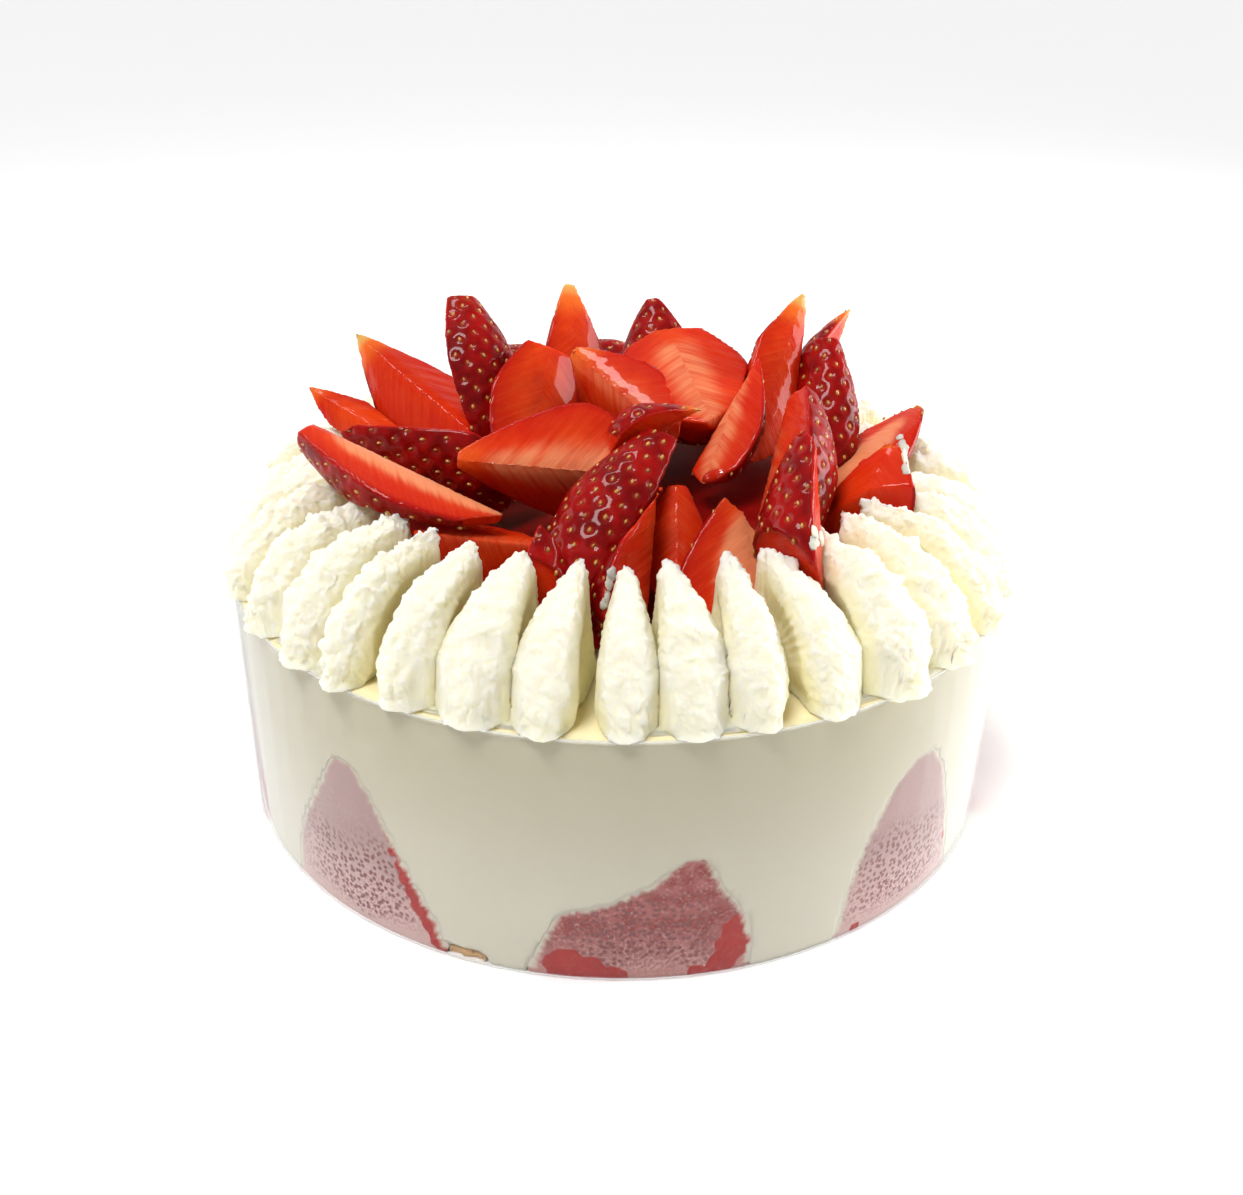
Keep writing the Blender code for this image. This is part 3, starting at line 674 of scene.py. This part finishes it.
def carve_petals(group):
    piece = even_copy(f"petals_{group + 1:02d}", f"cream_petals_{group + 1:02d}", PETAL_VOXEL, 3)
    points = points_of(piece)
    numbers = [(3 * group + k + PETAL_COUNT // 2) % PETAL_COUNT - PETAL_COUNT // 2
               for k in range(3)]
    sides = np.stack([(points - PETAL_FRAMES[n][0]) @ PETAL_FRAMES[n][2] for n in numbers])
    mine = np.abs(sides).argmin(axis=0)
    middle, outward, sideways = (np.stack([PETAL_FRAMES[n][axis] for n in numbers])[mine]
                                 for axis in range(3))
    aside = np.take_along_axis(sides, mine[None, :], axis=0)[0]
    radius = ((points - middle) * outward).sum(axis=1) + PETAL_MIDDLE
    height = points[:, 2].copy()
    reach = np.hypot(radius - PETAL_PIVOT, height)
    swing = np.degrees(np.arctan2(height, radius - PETAL_PIVOT))
    tipward = smooth_step(48.0, 106.0, swing) * smooth_step(6.0, 14.0, reach)
    tuck = smooth_step(26.0, 2.0, swing) * smooth_step(7.0, 13.0, reach)
    valley = smooth_step(3.4, 4.8, np.abs(aside)) * smooth_step(9.0, 6.0, height)
    height *= 1.0 - 0.9 * valley
    aside *= 1.09 - 0.09 * tipward - 0.38 * tuck
    from_edge = edge_of(mine, swing, reach) - reach
    ridge_and_highlight = (1.0 - smooth_step(1.0, 4.5, from_edge)) * smooth_step(8.0, 12.0, reach)
    stretch = 1.0 + 0.10 * smooth_step(80.0, 112.0, swing)
    ragged = wobble(np.stack([swing / 8.0, mine * 7.0, aside / 6.0], axis=1), 1.0, group)
    stretch += ridge_and_highlight * smooth_step(20.0, 45.0, swing) * 0.04 * ragged
    radius = PETAL_PIVOT + (radius - PETAL_PIVOT) * stretch
    height = height * stretch
    points = middle + outward * (radius - PETAL_MIDDLE)[:, None] + sideways * aside[:, None]
    points[:, 2] = height
    move_to(piece, points)
    facing = normals_of(piece)
    base = smooth_step(0.35, 1.8, height)
    foot = smooth_step(30.0, 8.0, swing) * smooth_step(8.0, 14.0, reach)
    rough = np.array([1.35 if -8 < n < -3 or 3 < n < 8 else 1.0 for n in numbers])[mine]
    warp = np.stack([wobble(points, 3.0, shift) for shift in (1.0, 5.0, 9.0)], axis=1)
    warped = points + 0.7 * warp
    torn = 0.46 * crumble(warped, 2.8, group) + 0.28 * crumble(warped, 1.2, group + 4.0)
    soft = 0.36 * wobble(points, 2.8, group) + 0.16 * wobble(points, 1.0, group + 9.0)
    share = np.clip(0.10 + 0.90 * np.maximum(ridge_and_highlight, 0.5 * foot), 0.0, 1.0)
    flank = mine * 5.0 + (aside > 0)
    fan = wobble(np.stack([swing / 3.0, reach / 16.0, flank], axis=1), 1.0, group)
    fine_fan = wobble(np.stack([swing / 1.3, reach / 9.0, flank], axis=1), 1.0, group)
    lines = (0.22 * fan + 0.15 * fine_fan) * smooth_step(5.0, 10.0, reach) * (1.0 - ridge_and_highlight)
    grit = 0.045 * crumble(warped, 0.9, group + 6.0)
    push = (torn + soft) * share * rough + grit + lines
    points += facing * (push * base)[:, None]
    move_to(piece, points)
    # The ridge number also paints the ridge lighter in the material, as a painted highlight.
    mark(piece, "ridge_and_highlight", ridge_and_highlight)
    # Painted shade: a warmer yellow low down and on the flanks, less on the ridge.
    shaded_low_part = 1.0 - smooth_step(1.0, 12.0, height)
    mark(piece, "painted_hollow_shade", shaded_low_part * (1.0 - 0.7 * ridge_and_highlight) + 0.55 * (1.0 - ridge_and_highlight) * (1.0 - shaded_low_part))
    petal_finish.give(piece)
    return piece


# %% [markdown]
# Cream lets light in, so thin edges glow and hollows stay pale yellow instead of grey. Subsurface
# scattering gives that, helped by painted shade: a warmer yellow low down between the petals and
# on the flanks. The ridges are painted lighter, as a painted highlight.

# %% Finish of the petals
def make_petal_finish():
    made = Finish("whipped cream", Roughness=0.5, Specular_IOR_Level=0.2, Subsurface_Weight=0.6,
                  Subsurface_Scale=0.005, IOR=1.4)
    made.shader.inputs["Subsurface Radius"].default_value = (1.0, 0.85, 0.45)
    body = made.blend(made.noise(4.0), (0.74, 0.685, 0.47), (0.79, 0.74, 0.56))
    # Painted highlight: the ridge is lighter than the flanks.
    body = made.blend(made.number("ridge_and_highlight"), body, (0.87, 0.835, 0.70))
    # Painted shade: warmer yellow low down and on the flanks.
    painted_hollow_shade = made.span(made.number("painted_hollow_shade"), 0.05, 1.0, 0.0, 0.85)
    body = made.blend(painted_hollow_shade, body, (0.95, 0.87, 0.51))
    made.colour(body)
    made.bump(made.noise(0.55, 4.0, 0.7), 0.12, 0.8)
    return made


petal_finish = make_petal_finish()
petal_pieces = [carve_petals(group) for group in range(PETAL_COUNT // 3)]
print(sum(len(piece.data.polygons) for piece in petal_pieces), "faces on the petals")

# %% [markdown]
# ## The set cream
#
# The body was set in a ring against the film, so its wall is smooth and truly round, and its top
# was levelled with a knife. The low mound under the fruit is painted dark red, partly as a juice
# stain and partly as painted shade in the gaps between the fruit. A remeshed copy rounds the rim,
# and its wall is put back on the exact radius.

# %% Body of set cream
BODY_VOXEL = 1.2


def shaded_wall_colour(finish):
    """Cream seen through the film in painted shade: greyer and darker than on top, most so high up,
    with faint blotches.
    """
    height = finish.add("ShaderNodeSeparateXYZ", Vector=finish.place).outputs["Z"]
    shaded_wall = finish.blend(finish.span(height, 0.006, 0.044),
                        (0.64, 0.60, 0.495), (0.535, 0.49, 0.355))
    blotches = finish.span(finish.noise(9.0, 4.0, 0.65), 0.5, 0.8, 0.0, 0.25)
    return finish.blend(blotches, shaded_wall, (0.68, 0.64, 0.53))


def make_cream_block():
    piece = even_copy("cream_body", "cream_block", BODY_VOXEL, 2)
    points = points_of(piece)
    radius = np.hypot(points[:, 0], points[:, 1])
    on_wall = radius > WALL_RADIUS - 1.2
    stretch = np.where(on_wall, WALL_RADIUS / radius, 1.0)
    points[:, 0] *= stretch
    points[:, 1] *= stretch
    on_top = (np.abs(points[:, 2]) < 0.5) & (radius < WALL_RADIUS - 1.0)
    points[:, 2] += np.where(on_top, 0.18 * wobble(points, 7.0), 0.0)
    move_to(piece, points)
    # Dark red over the mound: partly a juice stain, partly painted shade in the gaps between the
    # fruit.
    edge = 48.5 + 2.0 * wobble(points, 5.0)
    juice_and_shade_share = 1.0 - smooth_step(edge - 1.5, edge + 0.5, radius)
    mark(piece, "juice_and_shade", juice_and_shade_share * (points[:, 2] > -1.0))
    finish = Finish("set cream", Roughness=0.5, Specular_IOR_Level=0.15, Subsurface_Weight=0.2,
                    Subsurface_Scale=0.003, IOR=1.4)
    finish.shader.inputs["Subsurface Radius"].default_value = (1.0, 0.8, 0.45)
    # The wall is painted shade: greyer and darker than the top, and darker towards the top of the
    # wall.
    shaded_wall = shaded_wall_colour(finish)
    # The top's deep yellow is partly painted shade, for the shade at the petal feet.
    top = finish.blend(finish.noise(12.0), (0.92, 0.80, 0.47), (0.94, 0.85, 0.56))
    height = finish.add("ShaderNodeSeparateXYZ", Vector=finish.place).outputs["Z"]
    cream = finish.blend(finish.span(height, 0.0462, 0.0470), shaded_wall, top)
    # Juice stain and painted shade: very dark red where the fruit leaves gaps.
    juice_and_shade_red = finish.blend(finish.noise(5.0), (0.16, 0.001, 0.001), (0.30, 0.003, 0.002))
    finish.colour(finish.blend(finish.number("juice_and_shade"), cream, juice_and_shade_red))
    finish.bump(finish.noise(3.0, 3.0), 0.05, 0.4)
    finish.give(piece)
    print(len(piece.data.polygons), "faces on the set cream")


make_cream_block()

# %% [markdown]
# ## Berry halves behind the film
#
# Round the side stand berry halves whose cut faces were pressed on the film. Most of each face is
# misted pink, with small dark pores, and where fruit still touches the film it is clear red.
# Those places are blobs on the wall, given by angle, height and size, which become a number on
# the vertices. Cream crept over the rim of each half before it set, so the half is swollen into
# the cream round it, its rim lies a little deeper than its face, and the rim takes the wall's
# colour.

# %% Side fruit
SIDE_COUNT = 9
SIDE_FIRST_AZIMUTH = 3.5
SIDE_VOXEL = 0.5
FACE_RADIUS = 74.36
PER_DEGREE = math.radians(1.0) * WALL_RADIUS
FACE_SWELL = 1.2
RIM_SINK = 0.14
ROSY_SHARE = {0: 1.0, 1: 0.05, 8: 0.0}
CLEAR_SPOTS = {
    0: ((-9.6, 2.2, 4.2), (-7.0, 0.8, 4.4), (-3.6, 0.4, 2.6), (12.6, 8.6, 3.3), (12.0, 5.0, 3.4),
        (10.2, 1.6, 2.8), (7.4, 0.3, 2.2)),
    1: ((-9.0, 0.6, 1.2), (11.0, 7.5, 1.0)),
    8: ((6.3, 20.5, 1.5), (7.3, 18.3, 1.9), (8.3, 16.0, 2.4), (9.3, 13.6, 2.8), (10.3, 11.2, 3.1),
        (11.4, 8.6, 3.3), (12.5, 6.0, 3.3), (13.4, 3.4, 3.0), (14.2, 1.4, 2.6), (-11.5, 20.0, 1.2)),
}
CREPT_SPOTS = {
    2: ((-14.0, 15.0, 11.0),),
    8: ((-7.4, 31.0, 3.2), (-9.6, 26.0, 4.0), (-13.0, 21.5, 3.6)),
}


def nearest(points, others):
    """Distance from each point to the closest of the others."""
    tree = KDTree(len(others))
    for index, other in enumerate(others):
        tree.insert(other, index)
    tree.balance()
    return np.array([tree.find(point)[2] for point in points])


def make_side_berry(index, finish):
    piece = even_copy(f"side_fruit_{index + 1:02d}", f"side_berry_{index + 1:02d}", SIDE_VOXEL, 2)
    points = points_of(piece)
    middle = math.radians(SIDE_FIRST_AZIMUTH + 360.0 / SIDE_COUNT * index)
    azimuth = np.arctan2(points[:, 0], -points[:, 1])
    around = np.degrees((azimuth - middle + math.pi) % (2 * math.pi) - math.pi)
    facing = normals_of(piece)
    swell = FACE_SWELL + 0.2 * wobble(points, 2.6, index)
    keep_low = smooth_step(-CAKE_TOP + 0.2, -CAKE_TOP + 1.5, points[:, 2])
    points += facing * (swell * (0.3 + 0.7 * keep_low))[:, None]
    points[:, 2] = np.maximum(points[:, 2], -CAKE_TOP + 0.02)
    radius = np.hypot(points[:, 0], points[:, 1])
    on_face = radius > WALL_RADIUS - 1.1
    height = points[:, 2] + CAKE_TOP
    across = around * PER_DEGREE
    flat = np.stack([across, height, np.zeros(len(points))], axis=1)
    inward = nearest(flat, flat[~on_face & (radius > WALL_RADIUS - 2.2)])
    sunk = RIM_SINK * (1.0 - smooth_step(0.0, 1.0, inward))
    stretch = np.where(on_face, (FACE_RADIUS - sunk) / radius, 1.0)
    points[:, 0] *= stretch
    points[:, 1] *= stretch
    move_to(piece, points)
    for angle, level, size in CREPT_SPOTS.get(index, ()):
        away = np.hypot(across - angle * PER_DEGREE, height - level)
        inward = np.minimum(inward, np.maximum(away - size + 0.8, 0.0))
    cover = 1.0 - smooth_step(0.4, 0.85, inward + 0.35 * wobble(points, 1.1, index + 5.0))
    mark(piece, "cover", cover * smooth_step(0.6, 1.2, height))
    clear = np.zeros(len(points))
    dice = random.Random(index)
    side = dice.choice((-1, 1))
    spots = CLEAR_SPOTS.get(index)
    if spots is None:
        spots = [(side * (9.6 + 0.6 * step), 8.0 - 2.0 * step, dice.uniform(1.8, 3.0))
                 for step in range(5)]
    for angle, level, size in spots:
        away = np.hypot(across - angle * PER_DEGREE, height - level)
        away += 0.8 * wobble(points, 1.8, index + 3.0)
        clear = np.maximum(clear, 1.0 - smooth_step(size * 0.75, size * 1.05, away))
    mark(piece, "clear", clear)
    mark(piece, "level", height)
    mark(piece, "across", across)
    middle_part = np.exp(-((around / 11.0) ** 4))
    drift = 3.0 * wobble(points, 6.0, index + 7.0)
    mark(piece, "pores", middle_part * (1.0 - smooth_step(14.0, 20.0, height + drift))
         * smooth_step(1.5, 4.0, height + drift))
    mark(piece, "foam", np.exp(-((around / 11.0) ** 2)) * smooth_step(0.8, 3.0, height)
         * (1.0 - smooth_step(7.0, 11.5, height + drift)))
    mark(piece, "rosy", np.full(len(points), ROSY_SHARE.get(index, 0.25)))
    finish.give(piece)


# %% [markdown]
# The mist is mauve and smooth towards the tip of a berry and pale below, with dark pores where
# drops have run together, then finer and finer pores down to a foam. Two sizes of Voronoi cells
# give the pores, each only where its number on the vertices says so, and they are read flat on
# the wall, so that they stay round. The middle berry is rosier and speckled with fine drops.

# %% Finish of the misted fruit
def make_mist_finish():
    made = Finish("misted fruit", Roughness=0.42, Specular_IOR_Level=0.15, Subsurface_Weight=0.08,
                  Subsurface_Scale=0.002)
    made.shader.inputs["Subsurface Radius"].default_value = (1.0, 0.5, 0.4)
    level, rosy = made.number("level"), made.number("rosy")
    uneven = made.sum("MULTIPLY", made.sum("SUBTRACT", made.noise(5.0, 3.0), 0.5), 0.7)
    height_share = made.sum("ADD", made.span(level, 2.0, 20.0, 0.0, 0.8), uneven)
    mist = made.blend(made.span(height_share, 0.0, 0.8), (0.60, 0.40, 0.375), (0.41, 0.26, 0.245))
    blush = made.blend(made.span(made.noise(3.2, 3.0), 0.35, 0.65), (0.27, 0.035, 0.028),
                       (0.40, 0.11, 0.10))
    blush = made.blend(made.span(level, 9.0, 2.0, 0.0, 0.7), blush, (0.54, 0.27, 0.245))
    mist = made.blend(rosy, mist, blush)
    drops = made.span(made.noise(0.55, 2.0, 0.7), 0.52, 0.68)
    mist = made.blend(made.sum("MULTIPLY", drops, made.span(rosy, 0.0, 1.0, 0.2, 0.32)), mist,
                      (0.72, 0.52, 0.50))
    face = made.join(made.sum("MULTIPLY", made.number("across"), MM),
                     made.sum("MULTIPLY", level, MM), 0.0)
    big = made.span(made.cells(1.25, face), 0.35, 0.29)
    big = made.sum("MULTIPLY", big, made.number("pores"))
    fine = made.span(made.cells(0.66, face), 0.38, 0.30)
    fine = made.sum("MULTIPLY", fine, made.number("foam"))
    rims = made.span(made.cells(0.62, face), 0.36, 0.55)
    rims = made.sum("MULTIPLY", rims, made.sum("MULTIPLY", made.number("foam"), 0.2))
    mist = made.blend(rims, mist, (0.76, 0.60, 0.60))
    mist = made.blend(made.sum("MULTIPLY", fine, 0.7), mist, (0.32, 0.12, 0.12))
    mist = made.blend(made.sum("MULTIPLY", big, 0.95), mist, (0.22, 0.065, 0.065))
    red = made.blend(made.noise(2.5, 3.0), (0.28, 0.005, 0.004), (0.48, 0.015, 0.010))
    red = made.blend(made.sum("MULTIPLY", drops, 0.25), red, (0.62, 0.20, 0.15))
    edge = made.sum("ADD", made.number("clear"), made.sum("MULTIPLY", made.noise(0.9, 3.0), 0.5))
    seen = made.blend(made.span(edge, 0.6, 0.9), mist, red)
    # The rim takes the wall's colour, painted shade included.
    made.colour(made.blend(made.number("cover"), seen, shaded_wall_colour(made)))
    made.bump(made.sum("SUBTRACT", drops, made.sum("ADD", big, fine)), 0.08, 0.4)
    return made


mist_finish = make_mist_finish()
for index in range(SIDE_COUNT):
    make_side_berry(index, mist_finish)
print("side fruit made")

# %% [markdown]
# ## The sponge
#
# A thin disc of brown sponge under the cream shows only in one streak at the bottom. Crumb is
# uneven and full of holes, which noise in the mesh and small cells in the material give. The holes
# are painted darker, as painted shade.

# %% Sponge disc
def make_sponge():
    piece = even_copy("sponge_base", "sponge_disc", BODY_VOXEL, 1)
    points = points_of(piece)
    lift = 0.22 * wobble(points, 1.8) * (points[:, 2] > -CAKE_TOP + 0.5)
    points += normals_of(piece) * lift[:, None]
    move_to(piece, points)
    finish = Finish("sponge crumb", Roughness=0.9)
    crumb = finish.blend(finish.noise(2.0, 4.0), (0.50, 0.27, 0.11), (0.70, 0.45, 0.22))
    # Painted shade: the holes are darker than the crumb.
    shaded_holes = finish.span(finish.cells(1.3), 0.3, 0.12)
    finish.colour(finish.blend(shaded_holes, crumb, (0.33, 0.16, 0.06)))
    finish.bump(finish.cells(1.3), 0.4, 0.8)
    finish.give(piece)


make_sponge()

# %% [markdown]
# ## The clear film
#
# A strip of clear film wraps the side. It is nearly invisible: its edge shows as a thin line, and
# its surface only where light grazes it. Both are painted: the film's pale colour is made more
# opaque towards grazing angles of view, as painted reflection, and in thin lines at its top and
# bottom edges, as painted highlights. Transparency with a little gloss is used rather than
# refraction, because a thin film doesn't bend what is behind it.

# %% Film collar
def make_film_finish():
    made = Finish("clear film", Roughness=0.08, IOR=1.45)
    made.colour((0.80, 0.81, 0.80, 1.0))
    # Painted reflection at grazing angles and painted highlight lines at the top and bottom edges.
    grazing_sheen = made.add("ShaderNodeLayerWeight", Blend=0.25).outputs["Facing"]
    height = made.add("ShaderNodeSeparateXYZ", Vector=made.place).outputs["Z"]
    rim = made.span(height, 0.0466, 0.0470, 0.0, 0.4)
    foot_highlight = made.span(height, 0.0007, 0.0003, 0.0, 0.3)
    body = made.span(grazing_sheen, 0.2, 1.0, 0.03, 0.6)
    made.feed(made.shader.inputs["Alpha"], made.sum("ADD", body, made.sum("ADD", rim, foot_highlight)))
    return made


film_finish = make_film_finish()
film_finish.give(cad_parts["film_collar"])
print("film dressed")

# %% [markdown]
# The strip is longer than the way round, so its ends overlap on the left. The outer end is a
# narrow curved sheet that stands just off the collar. A line of points is spun about the cake's
# axis, and the sheet is then given its thickness.

# %% Overlapping end of the film
OVERLAP_FROM = -92.0
OVERLAP_TO = -66.0
OVERLAP_GAP = 0.25
STRIP_THICKNESS = 0.15


def make_film_overlap():
    shape = bmesh.new()
    start = math.radians(OVERLAP_FROM)
    rim = Vector((math.sin(start), -math.cos(start), 0.0)) * (FILM_RADIUS + OVERLAP_GAP) * MM
    low = shape.verts.new(rim + Vector((0.0, 0.0, 0.3 * MM)))
    high = shape.verts.new(rim + Vector((0.0, 0.0, (CAKE_TOP - 0.4) * MM)))
    edge = shape.edges.new((low, high))
    bmesh.ops.spin(shape, geom=[low, high, edge], cent=(0.0, 0.0, 0.0), axis=(0.0, 0.0, 1.0),
                   angle=math.radians(OVERLAP_TO - OVERLAP_FROM), steps=26)
    bmesh.ops.recalc_face_normals(shape, faces=shape.faces[:])
    bmesh.ops.solidify(shape, geom=shape.faces[:], thickness=STRIP_THICKNESS * MM)
    bmesh.ops.recalc_face_normals(shape, faces=shape.faces[:])
    strip = add_object("film_overlap", shape)
    strip.data.shade_smooth()
    strip.data.set_sharp_from_angle(angle=math.radians(40.0))
    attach(strip, "root")
    film_finish.give(strip)
    print(len(strip.data.polygons), "faces on the overlap")


make_film_overlap()

# %% [markdown]
# ## Smears of cream and a drop of glaze
#
# Where petals were piped against the fruit they left small smears on it, and a drop of glaze
# hangs from the end of one slice. Each is a ball, flattened and roughened, that sits where a ray
# from the camera through its place in the picture first meets the fruit.

# %% Smears and drop
SMEARS = (
    ((612, 574), (0.9, 1.3, 0.22)), ((609, 583), (0.7, 1.5, 0.22)), ((607, 594), (0.6, 1.6, 0.22)),
    ((604, 604), (0.6, 1.2, 0.22)), ((815, 533), (1.7, 1.2, 0.4)), ((821, 539), (1.6, 1.1, 0.35)),
    ((814, 543), (1.1, 1.2, 0.35)), ((903, 447), (0.9, 2.2, 0.35)), ((905, 459), (0.9, 2.2, 0.35)),
    ((900, 437), (0.7, 1.2, 0.3)), ((906, 469), (0.7, 1.2, 0.3)),
)
DROP = ((714, 476), (2.6, 1.3, 0.9))
IMAGE_HEIGHT = 1195.0


def meet(pixel, trees):
    """Where the ray through a pixel first meets one of the pieces, and which way it faces."""
    across = (pixel[0] - IMAGE_WIDTH / 2) / FOCAL_PIXELS
    down = (pixel[1] - IMAGE_HEIGHT / 2) / FOCAL_PIXELS
    ray = (forward + rolled_right * across - rolled_up * down).normalized()
    hits = [tree.ray_cast(camera_place, ray) for tree in trees]
    hits = [hit for hit in hits if hit[0] is not None]
    return min(hits, key=lambda hit: hit[3])[:2] if hits else (None, None)


def make_lumps(name, places, finish, roughness):
    trees = [BVHTree.FromObject(piece, bpy.context.evaluated_depsgraph_get())
             for piece in [row[0] for row in carved]]
    shape = bmesh.new()
    for pixel, size in places:
        where, normal = meet(pixel, trees)
        if where is None:
            continue
        level = rolled_right - normal * rolled_right.dot(normal)
        side = level.normalized()
        turn_to = Matrix((side, normal.cross(side), normal)).transposed().to_4x4()
        fit = Matrix.Diagonal((size[0] * MM, size[1] * MM, size[2] * MM, 1.0))
        ball = bmesh.ops.create_icosphere(shape, subdivisions=3, radius=1.0,
                                          matrix=Matrix.Translation(where) @ turn_to @ fit)
        for vert in ball["verts"]:
            bump = noise.noise(vert.co / (1.1 * MM)) + 0.5 * noise.noise(vert.co / (0.5 * MM))
            vert.co += (vert.co - where).normalized() * bump * roughness * MM
    lumps = add_object(name, shape)
    lumps.data.shade_smooth()
    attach(lumps, "root")
    finish.give(lumps)
    print(len(lumps.data.polygons), "faces on", name)


glaze = Finish("drop of glaze", Roughness=0.05, Coat_Weight=1.0, Coat_Roughness=0.02)
glaze.colour(glaze.blend(glaze.noise(2.0), (0.50, 0.012, 0.004), (0.62, 0.03, 0.008)))
make_lumps("cream_smears", SMEARS, petal_finish, 0.4)
make_lumps("glaze_drop", (DROP,), glaze, 0.0)
